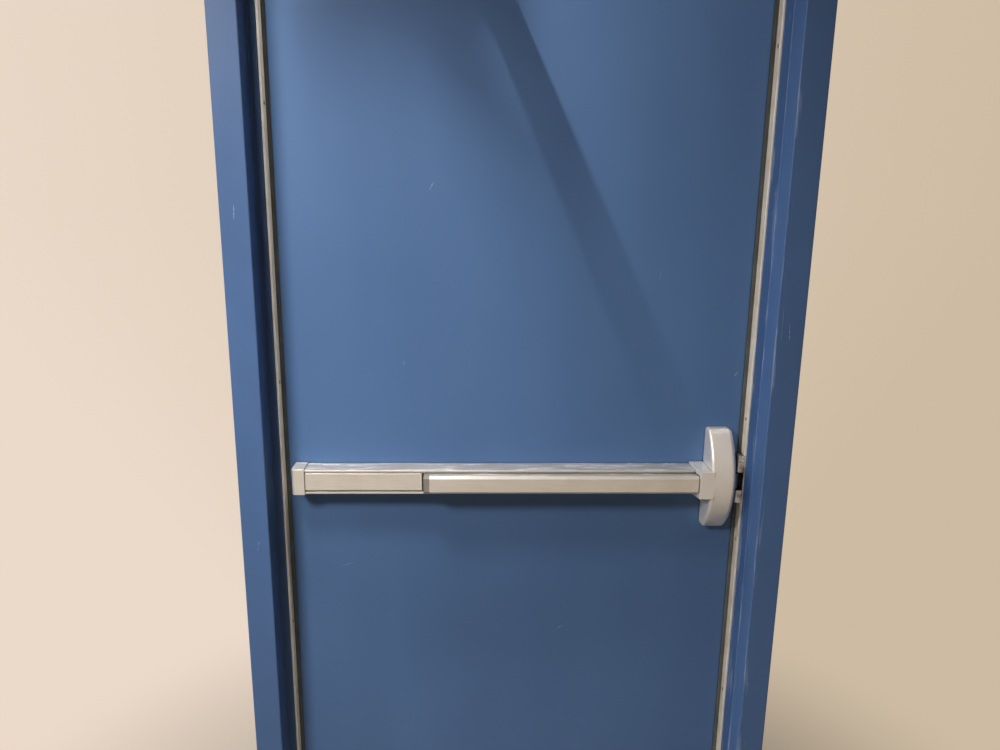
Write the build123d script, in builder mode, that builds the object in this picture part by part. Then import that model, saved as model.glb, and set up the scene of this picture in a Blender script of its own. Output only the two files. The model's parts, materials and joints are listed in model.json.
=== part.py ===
from build123d import *
from math import hypot
import os

# Hollow metal door in its pressed steel frame, with a rim exit device and a parallel-arm closer.
# Millimetres. X runs across the opening, +Y is the side that the door swings to, +Z is up.
# The origin is on the floor, at the middle of the opening and of the frame's depth.

os.makedirs("parts", exist_ok=True)

# frame
opening_width = 914.4
opening_height = 2133.6
frame_depth = 120.65
face_width = 50.8
rabbet_depth = 49.2
stop_height = 15.9
wall_return = 12.7
frame_sheet = 1.5
bend_radius = 2.2
anchor_sheet = 2.0
floor_anchor_height = 60.0
floor_hole_radius = 5.0
floor_hole_spacing = 50.0
anchor_bend = 3.0
wall_anchor_shares = (0.2156, 0.4968, 0.778)
wall_anchor_width = 40.0

# door
door_thickness = 44.45
edge_gap = 3.2
floor_gap = 19.0
stop_gap = 1.6
door_sheet = 1.2
channel_sheet = 1.5
channel_leg = 24.0
stiffener_count = 5
stiffener_flange = 26.0
stiffener_end_gap = 2.0

# hinges
hinge_height = 114.3
leaf_length = 50.8
leaf_thickness = 3.1
pin_reach = 12.7
barrel_radius = 7.2
pin_radius = 3.7
pin_clearance = 0.08
knuckle_gap = 0.3
hinge_top_drop = 127.0
hinge_floor_rise = 254.0
reinforcement = 4.5
reinforcement_length = 228.0
leaf_corner_radius = 6.0
pin_tip = 4.0
pin_tip_chamfer = 1.6
screw_columns = (10.0, 24.0)
screw_rows = (16.0, 42.0)
screw_head_radius = 5.0
screw_radius = 2.5
mortise_clearance = 0.3

# perimeter seal
retainer_thickness = 3.6
retainer_width = 19.7
pocket_depth = 3.4
pocket_wall = 0.9
tongue_clearance = 0.1
bulb_width = 9.2
bulb_rise = 0.8
bulb_chamfer = 1.3
bulb_clearance = 0.3

# exit device
device_height = 1018.5
rail_height = 47.0
rail_depth = 41.2
rail_wall = 2.2
rail_base = 2.5
rail_lip = 2.5
rail_hinge_inset = 28.3
rail_seat = 6.0
filler_pad_gap = 15.0
filler_lip_gap = 0.1
filler_edge_gap = 1.0
pad_length = 504.0
pad_mouth_inset = 23.0
pad_height = 35.0
pad_lip_gap = 1.6
pad_projection = 60.0
pad_depth = 36.0
pad_bevel = 4.6
pad_wall = 2.2
pad_end_length = 11.0
pad_end_inset = 4.0
pad_travel = 12.0
guide_inset = 70.0
guide_length = 30.0
guide_sheet = 2.0
guide_pin_radius = 3.0
guide_pin_reach = 27.0
lug_length = 18.0
lug_inset = 7.6
bracket_length = 20.0
bracket_depth = 14.0
bracket_hole_spacing = 24.0
cap_length = 24.0
cap_wall = 1.7
cap_clearance = 0.2
cap_corner = 7.0
cap_end_wall = 5.0
head_stop_gap = 27.3
head_width = 48.0
head_top = 98.0
head_bottom = 100.0
head_projection = 62.0
head_shoulder = 16.0
head_wall = 2.5
head_left_radius = 6.0
head_right_radius = 11.0
collar_length = 28.0
collar_height = 55.0
collar_ramp_start = 30.0
collar_ramp_length = 7.0
collar_radius = 2.0
mouth_clearance = 0.3
pad_mouth_clearance = 0.8
chassis_thickness = 3.0
bolt_back = 8.7
bolt_depth = 15.3
bolt_height = 30.0
bolt_drop = 6.0
bolt_stop_gap = 5.3
bolt_length = 52.0
bolt_slot_clearance = 0.6
guide_wall = 3.5
link_thickness = 3.0
link_height = 7.0

silencer_radius = 4.5
silencer_clearance = 0.3
silencer_shares = (0.1547, 0.5812, 0.8624)
plate_thickness = 3.0
plate_overhang = 20.0

# strike on the stop
strike_base = 2.5
strike_height = 95.0
strike_opening = 37.0
strike_drop = 2.0
strike_reach = 14.8
strike_nose_radius = 3.0
strike_front_inset = 2.0
keeper_thickness = 4.6
keeper_clearance = 0.5

# closer
spindle_from_pin = 395.6
spindle_projection = 42.0
closer_offset = -104.0
closer_body_length = 282.0
closer_body_depth = 50.0
closer_body_height = 46.0
closer_foot_inset = 15.0
closer_cover_rise = 16.0
closer_cover_radius = 8.0
closer_cover_length = 318.0
closer_cover_depth = 58.0
closer_cover_height = 60.0
closer_cover_wall = 2.2
closer_drop = 68.0
spindle_radius = 8.0
spindle_boss = 5.0
shoe_from_spindle = 230.0
shoe_pivot_forward = 17.3
shoe_length = 92.0
shoe_thickness = 5.0
shoe_corner_radius = 5.0
shoe_boss_radius = 11.0
arm_thickness = 8.0
arm_width = 24.0
arm_clearance = 0.8
arm_rise = 4.0
spindle_cap_radius = 9.0
spindle_cap_height = 4.0
elbow_cap_radius = 9.0
elbow_cap_height = 3.0
pivot_pin_radius = 4.5

# positions that follow from the sizes above
half_opening = opening_width / 2
half_depth = frame_depth / 2
stop_front = -half_depth + rabbet_depth
stop_back = half_depth - rabbet_depth
stop_side = half_opening - stop_height
stop_top = opening_height - stop_height
push_face = stop_back + stop_gap
pull_face = push_face + door_thickness
door_half = half_opening - edge_gap
door_top = opening_height - edge_gap
pin_x = -half_opening + edge_gap / 2
pin_y = pull_face + pin_reach
leaf_start = pin_y - leaf_length
hinge_top = opening_height - hinge_top_drop - hinge_height / 2
hinge_bottom = hinge_floor_rise + hinge_height / 2
hinge_centres = (hinge_bottom, (hinge_top + hinge_bottom) / 2, hinge_top)
head_right = stop_side - head_stop_gap
head_left = head_right - head_width
collar_left = head_left - collar_length
rail_left = -stop_side + rail_hinge_inset
rail_right = head_left - rail_seat
pad_right = head_left - pad_mouth_inset
pad_left = pad_right - pad_length
filler_right = pad_left - filler_pad_gap
bolt_height_z = device_height - bolt_drop
bolt_reach = stop_side - bolt_stop_gap
bolt_top = bolt_height / 2 + bolt_slot_clearance
spindle_x = pin_x + spindle_from_pin
shoe_pivot_x = spindle_x - shoe_from_spindle
wall_anchor_heights = [opening_height * share for share in wall_anchor_shares]
silencer_heights = [opening_height * share for share in silencer_shares]


def save(part, name):
    part.label = name
    export_step(part, "parts/" + name + ".step")


# Section of the double-rabbet frame: local x is depth, local y points into the wall.
def frame_section(plane):
    with BuildSketch(plane) as section:
        with BuildLine():
            FilletPolyline(
                (-half_depth + wall_return, face_width), (-half_depth, face_width),
                (-half_depth, 0), (stop_front, 0), (stop_front, -stop_height),
                (stop_back, -stop_height), (stop_back, 0), (half_depth, 0),
                (half_depth, face_width), (half_depth - wall_return, face_width),
                radius=bend_radius)
            offset(amount=frame_sheet, side=Side.LEFT)
        make_face()
    return section.sketch


left_mitre = Plane(origin=(-half_opening, 0, opening_height), z_dir=(1, 0, 1))
right_mitre = Plane(origin=(half_opening, 0, opening_height), z_dir=(-1, 0, 1))
left_foot = Plane(origin=(-half_opening, 0, 0), x_dir=(0, 1, 0), z_dir=(0, 0, 1))
frame_top = opening_height + face_width
right_crown = Plane(origin=(half_opening, 0, frame_top), x_dir=(0, 1, 0), z_dir=(0, 0, -1))
head_end = Plane(origin=(-half_opening - face_width, 0, opening_height),
                 x_dir=(0, 1, 0), z_dir=(1, 0, 0))

with BuildPart() as hinge_jamb:
    extrude(frame_section(left_foot), amount=frame_top)
    split(bisect_by=left_mitre, keep=Keep.BOTTOM)
    # pockets pressed into the rabbet that let the frame leaves in flush
    with Locations(*[(-half_opening - frame_sheet, half_depth - frame_sheet, z) for z in hinge_centres]):
        Box(leaf_thickness, half_depth - leaf_start + mortise_clearance,
            hinge_height + 2 * (mortise_clearance + frame_sheet), align=(Align.MAX, Align.MAX, Align.CENTER))
    with Locations(*[(-half_opening - leaf_thickness, leaf_start - mortise_clearance, z)
                     for z in hinge_centres]):
        Box(2 * leaf_thickness, half_depth * 2, hinge_height + 2 * mortise_clearance,
            align=(Align.MIN, Align.MIN, Align.CENTER), mode=Mode.SUBTRACT)
save(hinge_jamb.part, "hinge_jamb")

with BuildPart() as strike_jamb:
    extrude(frame_section(right_crown), amount=frame_top)
    split(bisect_by=right_mitre, keep=Keep.BOTTOM)
save(strike_jamb.part, "strike_jamb")

with BuildPart() as frame_head:
    extrude(frame_section(head_end), amount=opening_width + 2 * face_width)
    split(bisect_by=left_mitre, keep=Keep.TOP)
    split(bisect_by=right_mitre, keep=Keep.TOP)
save(frame_head.part, "frame_head")


# Angle clip welded inside the foot of a jamb, with two anchor holes in the floor leg.
def floor_anchor(side):
    inner = half_opening + frame_sheet
    outer = half_opening + face_width - frame_sheet - anchor_sheet
    span = 2 * (half_depth - frame_sheet - bend_radius)
    with BuildPart() as clip:
        with BuildSketch(Plane.XZ.offset(-span / 2)):
            with BuildLine():
                FilletPolyline((side * inner, floor_anchor_height), (side * inner, 0),
                               (side * outer, 0), radius=anchor_bend)
                offset(amount=anchor_sheet, side=Side.LEFT if side > 0 else Side.RIGHT)
            make_face()
        extrude(amount=span)
        with Locations(*[(side * (inner + outer) / 2, y, 0)
                         for y in (-floor_hole_spacing / 2, floor_hole_spacing / 2)]):
            Cylinder(floor_hole_radius, 4 * anchor_sheet, mode=Mode.SUBTRACT)
    return clip.part


save(floor_anchor(-1), "floor_anchor_left")
save(floor_anchor(1), "floor_anchor_right")

# Bent straps across the throat of each jamb, behind the stop.
with BuildPart() as wall_anchors:
    for side in (-1, 1):
        x_face = side * (half_opening + face_width - anchor_sheet)
        with Locations(*[(x_face + side * anchor_sheet / 2, 0, z) for z in wall_anchor_heights]):
            Box(anchor_sheet, frame_depth - 2 * wall_return, wall_anchor_width)
        with Locations(*[(side * (half_opening + frame_sheet + (face_width - frame_sheet - anchor_sheet) / 2),
                          y, z) for z in wall_anchor_heights for y in (stop_front, stop_back)]):
            Box(face_width - frame_sheet - anchor_sheet, anchor_sheet, wall_anchor_width)
save(wall_anchors.part, "wall_anchors")


# Plate behind the hinge leaves, stepped back between its two welded ends.
def hinge_plate(side, weld_x, leaf_x, y_from, y_to):
    step = hinge_height / 2 + 2 * mortise_clearance + frame_sheet
    end = reinforcement_length / 2
    with BuildPart() as plate:
        for z in hinge_centres:
            with BuildSketch(Plane.XZ.offset(-y_to)):
                with BuildLine():
                    Polyline((weld_x, z - end), (weld_x, z - step - 2), (leaf_x, z - step),
                             (leaf_x, z + step), (weld_x, z + step + 2), (weld_x, z + end),
                             (weld_x + side * reinforcement, z + end),
                             (weld_x + side * reinforcement, z + step + 2),
                             (leaf_x + side * reinforcement, z + step),
                             (leaf_x + side * reinforcement, z - step),
                             (weld_x + side * reinforcement, z - step - 2),
                             (weld_x + side * reinforcement, z - end), close=True)
                make_face()
            extrude(amount=y_to - y_from)
    return plate.part


# Screw centres of a leaf: two columns, staggered, clear of the barrel.
def leaf_screw_points(x):
    near, far = (leaf_start + column for column in screw_columns)
    inner, outer = screw_rows
    return [(x, y, z + dz) for z in hinge_centres
            for y, dz in ((near, -outer), (far, -inner), (near, inner), (far, outer))]


save(hinge_plate(-1, -half_opening - frame_sheet, -half_opening - leaf_thickness - frame_sheet,
                 stop_back + frame_sheet + bend_radius, half_depth - frame_sheet - bend_radius),
     "hinge_reinforcements")
save(hinge_plate(1, -door_half + door_sheet, -door_half + leaf_thickness,
                 push_face + door_sheet + 3.0, pull_face - door_sheet - 3.0),
     "door_hinge_reinforcements")


# One leaf of a five-knuckle hinge, with its share of the knuckles.
def hinge_leaf(z, side):
    outer_x = -half_opening - leaf_thickness if side < 0 else -door_half
    pitch = hinge_height / 5
    mine = (0, 2, 4) if side < 0 else (1, 3)
    with BuildPart() as leaf:
        with Locations((outer_x, leaf_start, z)):
            Box(leaf_thickness, pin_y - leaf_start, hinge_height,
                align=(Align.MIN, Align.MIN, Align.CENTER))
        fillet(leaf.edges().filter_by(Axis.X).group_by(Axis.Y)[0], leaf_corner_radius)
        for k in range(5):
            z_mid = z - hinge_height / 2 + (k + 0.5) * pitch
            with Locations((pin_x, pin_y, z_mid)):
                if k in mine:
                    Cylinder(barrel_radius, pitch - (knuckle_gap if 0 < k < 4 else knuckle_gap / 2))
                else:
                    Cylinder(barrel_radius + knuckle_gap, pitch + knuckle_gap, mode=Mode.SUBTRACT)
        with Locations((pin_x, pin_y, z)):
            Cylinder(pin_radius + pin_clearance, 2 * hinge_height, mode=Mode.SUBTRACT)
        face_x = outer_x if side > 0 else outer_x + leaf_thickness
        for px, py, pz in leaf_screw_points(face_x):
            if abs(pz - z) < hinge_height / 2:
                with Locations(Location((px, py, pz), (0, 90 * -side, 0))):
                    CounterSinkHole(screw_radius, screw_head_radius, depth=2 * leaf_thickness)
    return leaf.part


for hinge_name, hinge_z in zip(("bottom", "middle", "top"), hinge_centres):
    save(hinge_leaf(hinge_z, -1), "frame_leaf_" + hinge_name)
    save(hinge_leaf(hinge_z, 1), "door_leaf_" + hinge_name)

with BuildPart() as hinge_pins:
    for z in hinge_centres:
        with Locations((pin_x, pin_y, z)):
            Cylinder(pin_radius, hinge_height)
        for end in (-1, 1):
            with Locations((pin_x, pin_y, z + end * (hinge_height / 2 + pin_tip / 2))):
                Cylinder(barrel_radius - 0.4, pin_tip)
    fillet(hinge_pins.edges().filter_by(GeomType.CIRCLE).filter_by(
        lambda e: abs(e.radius - barrel_radius + 0.4) < 0.01
        and min(abs(abs(e.center().Z - z) - hinge_height / 2 - pin_tip) for z in hinge_centres) < 0.01),
        pin_tip_chamfer)
save(hinge_pins.part, "hinge_pins")


# Pressed seal retainer with a pocket along the door side; local x is depth, local y faces the opening.
def retainer_section(plane):
    back = stop_front + retainer_width
    lip = retainer_thickness - pocket_wall
    with BuildSketch(plane) as section:
        with BuildLine():
            Polyline((stop_front, 0), (back, 0), (back, pocket_wall), (back - pocket_depth, pocket_wall),
                     (back - pocket_depth, lip), (back, lip), (back, retainer_thickness),
                     (stop_front + 1.2, retainer_thickness), (stop_front, retainer_thickness - 1.2),
                     close=True)
        make_face()
    return section.sketch


# Rubber insert: a tongue in the pocket and a bulb that the door presses flat.
def insert_section(plane):
    tongue = stop_front + retainer_width - pocket_depth + tongue_clearance
    half_bulb = (push_face - bulb_clearance - stop_front - retainer_width) / 2
    bulb = push_face - bulb_clearance - half_bulb
    with BuildSketch(plane) as section:
        with Locations(((tongue + bulb) / 2, retainer_thickness / 2)):
            Rectangle(bulb - tongue, retainer_thickness - 2 * (pocket_wall + tongue_clearance))
        with BuildLine():
            near, far = bulb - half_bulb, bulb + half_bulb
            low, high = bulb_rise, bulb_rise + bulb_width
            Polyline((near, low + bulb_chamfer), (near + bulb_chamfer, low), (far - bulb_chamfer, low),
                     (far, low + bulb_chamfer), (far, high - bulb_chamfer), (far - bulb_chamfer, high),
                     (near + bulb_chamfer, high), (near, high - bulb_chamfer), close=True)
        make_face()
    return section.sketch


strike_mid = device_height - strike_drop
strike_low = strike_mid - strike_height / 2
strike_high = strike_mid + strike_height / 2
left_stop = Plane(origin=(-stop_side, 0, stop_top), x_dir=(0, 1, 0), z_dir=(0, 0, -1))
right_stop = Plane(origin=(stop_side, 0, 0), x_dir=(0, 1, 0), z_dir=(0, 0, 1))
head_stop = Plane(origin=(stop_side - retainer_thickness, 0, stop_top), x_dir=(0, 1, 0), z_dir=(-1, 0, 0))
seal_gap = 0.5
head_seal_length = 2 * (stop_side - retainer_thickness)
runs = (
    ("seal_left", left_stop, stop_top - seal_gap),
    ("seal_right_lower", right_stop.offset(seal_gap), strike_low - 2 * seal_gap),
    ("seal_right_upper", right_stop.offset(strike_high + seal_gap), stop_top - strike_high - seal_gap),
    ("seal_head", head_stop, head_seal_length),
)
with BuildPart() as seal_inserts:
    for _, plane, length in runs:
        extrude(insert_section(plane), amount=length)
save(seal_inserts.part, "seal_inserts")
for run_name, plane, length in runs:
    with BuildPart() as retainer:
        extrude(retainer_section(plane), amount=length)
    save(retainer.part, run_name)

# Rubber silencers on the strike side of the stop.
with BuildPart() as silencers:
    with Locations(*[Location((stop_side + stop_height / 2, stop_back, z), (-90, 0, 0))
                     for z in silencer_heights]):
        Cylinder(silencer_radius, stop_gap - silencer_clearance,
                 align=(Align.CENTER, Align.CENTER, Align.MIN))
save(silencers.part, "silencers")

# Plates welded inside the frame behind the strike and above the shoe.
with BuildPart() as strike_reinforcement:
    with Locations((stop_side + frame_sheet, 0, strike_mid)):
        Box(plate_thickness, 2 * stop_back - 2 * bend_radius - 2.0, strike_height + 2 * plate_overhang,
            align=(Align.MIN, Align.CENTER, Align.CENTER))
save(strike_reinforcement.part, "strike_reinforcement")

# Rim strike on the stop: base, two raised ends and the keeper bar between them.
with BuildPart() as strike:
    with Locations((stop_side, 0, strike_mid)):
        Box(strike_base, stop_back - stop_front, strike_height,
            align=(Align.MAX, Align.CENTER, Align.CENTER))
    keeper_back = push_face - bolt_back + keeper_clearance + keeper_thickness
    reach = strike_reach - strike_base
    for edge, near in ((strike_low, bolt_height_z - strike_opening / 2),
                       (strike_high, bolt_height_z + strike_opening / 2)):
        with BuildSketch(Plane.XY.offset(min(edge, near))):
            with Locations((stop_side - strike_base, stop_front + strike_front_inset)):
                Rectangle(reach, keeper_back - stop_front - strike_front_inset, align=(Align.MAX, Align.MIN))
        extrude(amount=abs(edge - near))
    with Locations((stop_side - strike_base, keeper_back, bolt_height_z)):
        Box(reach, keeper_thickness, strike_opening, align=(Align.MAX, Align.MAX, Align.CENTER))
    fillet(strike.edges().filter_by(Axis.Z).filter_by(
        lambda e: e.center().X < stop_side - strike_reach + 0.1 and e.center().Y < keeper_back - 1.0),
        strike_nose_radius)
save(strike.part, "strike")


# Door shell: two pans that meet on the edge seams at mid thickness.
def door_pan(face_y, toward):
    mid = (push_face + pull_face) / 2
    with BuildPart() as pan:
        with BuildSketch(Plane.XY.offset(floor_gap)):
            with BuildLine():
                FilletPolyline((-door_half, mid), (-door_half, face_y), (door_half, face_y),
                               (door_half, mid), radius=1.6)
                offset(amount=door_sheet, side=Side.LEFT if toward > 0 else Side.RIGHT)
            make_face()
        extrude(amount=door_top - floor_gap)
        with Locations(*[(-door_half, leaf_start - mortise_clearance, z) for z in hinge_centres]):
            Box(2 * leaf_thickness, leaf_length, hinge_height + 2 * mortise_clearance,
                align=(Align.CENTER, Align.MIN, Align.CENTER), mode=Mode.SUBTRACT)
    return pan.part


save(door_pan(push_face, 1), "door_push_sheet")
save(door_pan(pull_face, -1), "door_pull_sheet")


# End channel, legs pointing away from the door's middle.
def end_channel(z_leg, z_web):
    inside = door_thickness / 2 - door_sheet
    mid = (push_face + pull_face) / 2
    length = 2 * (door_half - door_sheet - 0.5)
    with BuildPart() as channel:
        with BuildSketch(Plane(origin=(-length / 2, mid, 0), x_dir=(0, 1, 0), z_dir=(1, 0, 0))):
            with BuildLine():
                Polyline((-inside, z_leg), (-inside, z_web), (inside, z_web), (inside, z_leg))
                offset(amount=channel_sheet, side=Side.LEFT if z_web < z_leg else Side.RIGHT)
            make_face()
        extrude(amount=length)
    return channel.part


save(end_channel(door_top, door_top - channel_leg), "door_top_channel")
save(end_channel(floor_gap, floor_gap + channel_leg), "door_bottom_channel")

# Upright channels between the two sheets.
with BuildPart() as door_stiffeners:
    inside = door_thickness / 2 - door_sheet
    pitch = 2 * door_half / (stiffener_count + 1)
    mid = (push_face + pull_face) / 2
    for i in range(stiffener_count):
        x = -door_half + (i + 1) * pitch
        with BuildSketch(Plane.XY.offset(floor_gap + channel_leg + stiffener_end_gap)):
            with BuildLine():
                Polyline((x + stiffener_flange, mid - inside), (x, mid - inside),
                         (x, mid + inside), (x + stiffener_flange, mid + inside))
                offset(amount=channel_sheet, side=Side.RIGHT)
            make_face()
        extrude(amount=door_top - floor_gap - 2 * (channel_leg + stiffener_end_gap))
save(door_stiffeners.part, "door_stiffeners")


# Planes on the push face: outward is -Y; "run" planes put local x outward and extrude toward -X.
def device_run(x_right):
    return Plane(origin=(x_right, push_face, device_height), x_dir=(0, -1, 0), z_dir=(-1, 0, 0))


device_front = Plane(origin=(0, push_face, device_height), x_dir=(1, 0, 0), z_dir=(0, -1, 0))
half_rail = rail_height / 2
lip_edge = pad_height / 2 + pad_lip_gap

with BuildPart() as device_rail:
    with BuildSketch(device_run(rail_right)):
        with BuildLine():
            inner = half_rail - rail_wall
            Polyline((0, -half_rail), (rail_depth, -half_rail), (rail_depth, -lip_edge),
                     (rail_depth - rail_lip, -lip_edge), (rail_depth - rail_lip, -inner),
                     (rail_base, -inner), (rail_base, inner), (rail_depth - rail_lip, inner),
                     (rail_depth - rail_lip, lip_edge), (rail_depth, lip_edge),
                     (rail_depth, half_rail), (0, half_rail), close=True)
        make_face()
    extrude(amount=rail_right - rail_left)
    fillet(device_rail.edges().filter_by(Axis.X).filter_by(
        lambda e: abs(e.center().Y - push_face + rail_depth) < 0.01
        and abs(abs(e.center().Z - device_height) - half_rail) < 0.01), 1.0)
save(device_rail.part, "device_rail")

# Filler strip held behind the rail's lips, its face standing between them.
with BuildPart() as device_filler:
    filler_left = rail_left - cap_end_wall - 1.0 + cap_length + 0.2
    with BuildSketch(device_run(filler_right)):
        with BuildLine():
            tongue = half_rail - rail_wall - filler_lip_gap
            front = lip_edge - filler_edge_gap
            seat = rail_depth - rail_lip - filler_lip_gap
            Polyline((seat - 2.2, -tongue), (seat, -tongue), (seat, -front),
                     (rail_depth - 2.4, -front), (rail_depth - 0.6, -front + 2.0),
                     (rail_depth - 0.6, front - 2.0), (rail_depth - 2.4, front),
                     (seat, front), (seat, tongue), (seat - 2.2, tongue), close=True)
        make_face()
    extrude(amount=filler_right - filler_left)
save(device_filler.part, "device_filler")

# End cap over the hinge end of the rail.
with BuildPart() as device_end_cap:
    cap_out = half_rail + cap_clearance + cap_wall
    cap_deep = rail_depth + cap_clearance + cap_wall
    cap_left = rail_left - cap_end_wall - 1.0
    with BuildSketch(device_run(cap_left + cap_length)):
        with Locations((cap_deep / 2, 0)):
            Rectangle(cap_deep, 2 * cap_out)
    extrude(amount=cap_length)
    fillet(device_end_cap.edges().filter_by(Axis.Z).group_by(Axis.X)[0].sort_by(Axis.Y)[0], cap_corner)
    fillet(device_end_cap.edges().filter_by(Axis.X).group_by(Axis.Y)[0], 1.4)
    with BuildSketch(device_run(cap_left + cap_length)):
        with Locations(((cap_deep - cap_wall) / 2 - 0.5, 0)):
            Rectangle(cap_deep - cap_wall + 1.0, 2 * (cap_out - cap_wall))
    extrude(amount=cap_length - cap_end_wall, mode=Mode.SUBTRACT)
save(device_end_cap.part, "device_end_cap")

# Mounting block inside the hinge end of the rail.
with BuildPart() as device_end_bracket:
    with Locations((rail_left + 2.0, push_face - rail_base, device_height)):
        Box(bracket_length, bracket_depth, 2 * (half_rail - rail_wall - 0.2),
            align=(Align.MIN, Align.MAX, Align.CENTER))
    with Locations(*[Location((rail_left + 2.0 + bracket_length / 2, push_face, device_height + z), (90, 0, 0))
                     for z in (-bracket_hole_spacing / 2, bracket_hole_spacing / 2)]):
        Cylinder(screw_radius, 4 * bracket_depth, mode=Mode.SUBTRACT)
save(device_end_bracket.part, "device_end_bracket")

# Push pad: a bevelled channel that slides into the rail's mouth.
half_pad = pad_height / 2
with BuildPart() as touchpad:
    with BuildSketch(device_run(pad_right)):
        with BuildLine():
            back = pad_projection - pad_depth
            Polyline((back, -half_pad), (pad_projection - pad_bevel, -half_pad),
                     (pad_projection, -half_pad + pad_bevel), (pad_projection, half_pad - pad_bevel),
                     (pad_projection - pad_bevel, half_pad), (back, half_pad))
            offset(amount=pad_wall, side=Side.LEFT)
        make_face()
    extrude(amount=pad_right - pad_left)
save(touchpad.part, "touchpad")


# Moulded end of the pad, a plug as deep as the channel.
def pad_end(x_right):
    with BuildPart() as plug:
        with BuildSketch(device_run(x_right)):
            with BuildLine():
                back = pad_projection - pad_depth + pad_end_inset
                Polyline((back, -half_pad + 0.3), (pad_projection - pad_bevel - 0.6, -half_pad + 0.3),
                         (pad_projection - 0.6, -half_pad + pad_bevel + 0.3),
                         (pad_projection - 0.6, half_pad - pad_bevel - 0.3),
                         (pad_projection - pad_bevel - 0.6, half_pad - 0.3), (back, half_pad - 0.3),
                         close=True)
            make_face()
        extrude(amount=pad_end_length)
    return plug.part


save(pad_end(pad_left), "touchpad_end")

# Two guides for the pad: a bracket on the rail's base holds a pin, and slotted lugs in the pad ride on it.
guide_centres = (pad_left + guide_inset, pad_right - guide_inset)
lug_spread = half_pad - lug_inset
lug_outside = lug_spread + guide_sheet
cheek_inside = lug_outside + mouth_clearance
with BuildPart() as pad_brackets:
    for x in guide_centres:
        with BuildSketch(device_run(x + guide_length / 2)):
            with BuildLine():
                reach = guide_pin_reach + 2 * guide_pin_radius
                Polyline((reach, -cheek_inside), (rail_base + guide_sheet, -cheek_inside),
                         (rail_base + guide_sheet, cheek_inside), (reach, cheek_inside))
                offset(amount=guide_sheet, side=Side.LEFT)
            make_face()
        extrude(amount=guide_length)
        with Locations((x, push_face - guide_pin_reach, device_height)):
            Cylinder(guide_pin_radius, 2 * (cheek_inside + guide_sheet))
save(pad_brackets.part, "pad_brackets")

with BuildPart() as pad_lugs:
    front = pad_projection - pad_wall
    back = guide_pin_reach - 2 * guide_pin_radius - 1.0
    for x in guide_centres:
        for side in (-1, 1):
            z_low = device_height + (lug_spread if side > 0 else -lug_outside)
            with BuildSketch(Plane.XY.offset(z_low)):
                with Locations((x, push_face - (front + back) / 2)):
                    Rectangle(lug_length, front - back)
                with Locations((x, push_face - guide_pin_reach - pad_travel / 2)):
                    SlotCenterToCenter(pad_travel, 2 * (guide_pin_radius + pin_clearance), rotation=90,
                                       mode=Mode.SUBTRACT)
            extrude(amount=guide_sheet)
save(pad_lugs.part, "pad_lugs")

# Head chassis: plate on the door with the latch's guide walls.
with BuildPart() as device_chassis:
    with BuildSketch(device_front):
        with Locations(((head_left + head_right) / 2, (head_top - head_bottom) / 2)):
            Rectangle(head_right - head_left - 2 * head_wall - 1.0,
                      head_top + head_bottom - 2 * head_wall - 2 * head_right_radius)
    extrude(amount=chassis_thickness)
    for side in (-1, 1):
        with BuildSketch(device_front.offset(chassis_thickness)):
            with Locations(((head_left + head_right) / 2, side * (bolt_top + guide_wall / 2) - bolt_drop)):
                Rectangle(head_right - head_left - 2 * head_wall - 1.0, guide_wall)
        extrude(amount=bolt_back + bolt_depth + 3.0 - chassis_thickness)
save(device_chassis.part, "device_chassis")


# Side outline of the head: flat shoulders at the door and one long arc between them.
def head_outline(plane, inset):
    top = head_top - inset
    bottom = -head_bottom + inset
    with BuildSketch(plane) as outline:
        with BuildLine():
            ThreePointArc((head_shoulder, top), (head_projection - inset, (top + bottom) / 2),
                          (head_shoulder, bottom))
            Polyline((head_shoulder, bottom), (0, bottom), (0, top), (head_shoulder, top))
        make_face()
    return outline.sketch


# Rounded block between the head's two sides; with an inset it is the hollow inside.
def head_block(inset):
    with BuildPart() as block:
        extrude(head_outline(device_run(head_right - inset), inset), amount=head_width - 2 * inset)
        for x, radius in ((head_left + inset, head_left_radius), (head_right - inset, head_right_radius)):
            fillet(block.edges().filter_by(
                lambda e: abs(e.center().X - x) < 0.01 and e.center().Y < push_face - 1.0), radius - inset)
    return block.part


with BuildPart() as device_head:
    add(head_block(0))
    # collar that takes in the end of the rail, its front running out to the head's
    into = head_left + head_left_radius
    with BuildPart(mode=Mode.PRIVATE) as collar:
        with BuildSketch(Plane.XY.offset(device_height - collar_height / 2)):
            with BuildLine():
                Polyline((into, push_face), (collar_left, push_face),
                         (collar_left, push_face - collar_ramp_start),
                         (collar_left + collar_ramp_length, push_face - head_projection + 0.4),
                         (into, push_face - head_projection + 0.4), close=True)
            make_face()
        extrude(amount=collar_height)
        fillet(collar.edges().filter_by(
            lambda e: e.center().Y < push_face - 1.0 and collar_left - 1 < e.center().X < into - 0.1
            and abs(abs(e.center().Z - device_height) - collar_height / 2) < 0.01), collar_radius)
    add(collar.part)
    add(head_block(head_wall), mode=Mode.SUBTRACT)
    # mouths for the rail and the pad
    for x_end, x_start, y_in, y_out, half in (
            (head_left + head_wall + 1.0, collar_left - 1.0, -1.0, rail_depth + mouth_clearance,
             half_rail + mouth_clearance),
            (pad_right + mouth_clearance, collar_left - 1.0, 0.0, head_projection + 1.0,
             half_pad + pad_mouth_clearance),
            (head_left + head_wall + 1.0, collar_left - 1.0, 0.0, head_projection - head_wall - 2.0,
             half_pad + pad_mouth_clearance)):
        with BuildSketch(device_run(x_end)):
            with Locations(((y_in + y_out) / 2, 0)):
                Rectangle(y_out - y_in, 2 * half)
        extrude(amount=x_end - x_start, mode=Mode.SUBTRACT)
    # mouth of the latch
    with Locations((head_right, push_face - bolt_back - bolt_depth / 2, bolt_height_z)):
        Box(4 * head_wall, bolt_depth + 2 * bolt_slot_clearance, 2 * bolt_top, mode=Mode.SUBTRACT)
save(device_head.part, "device_head")

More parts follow.
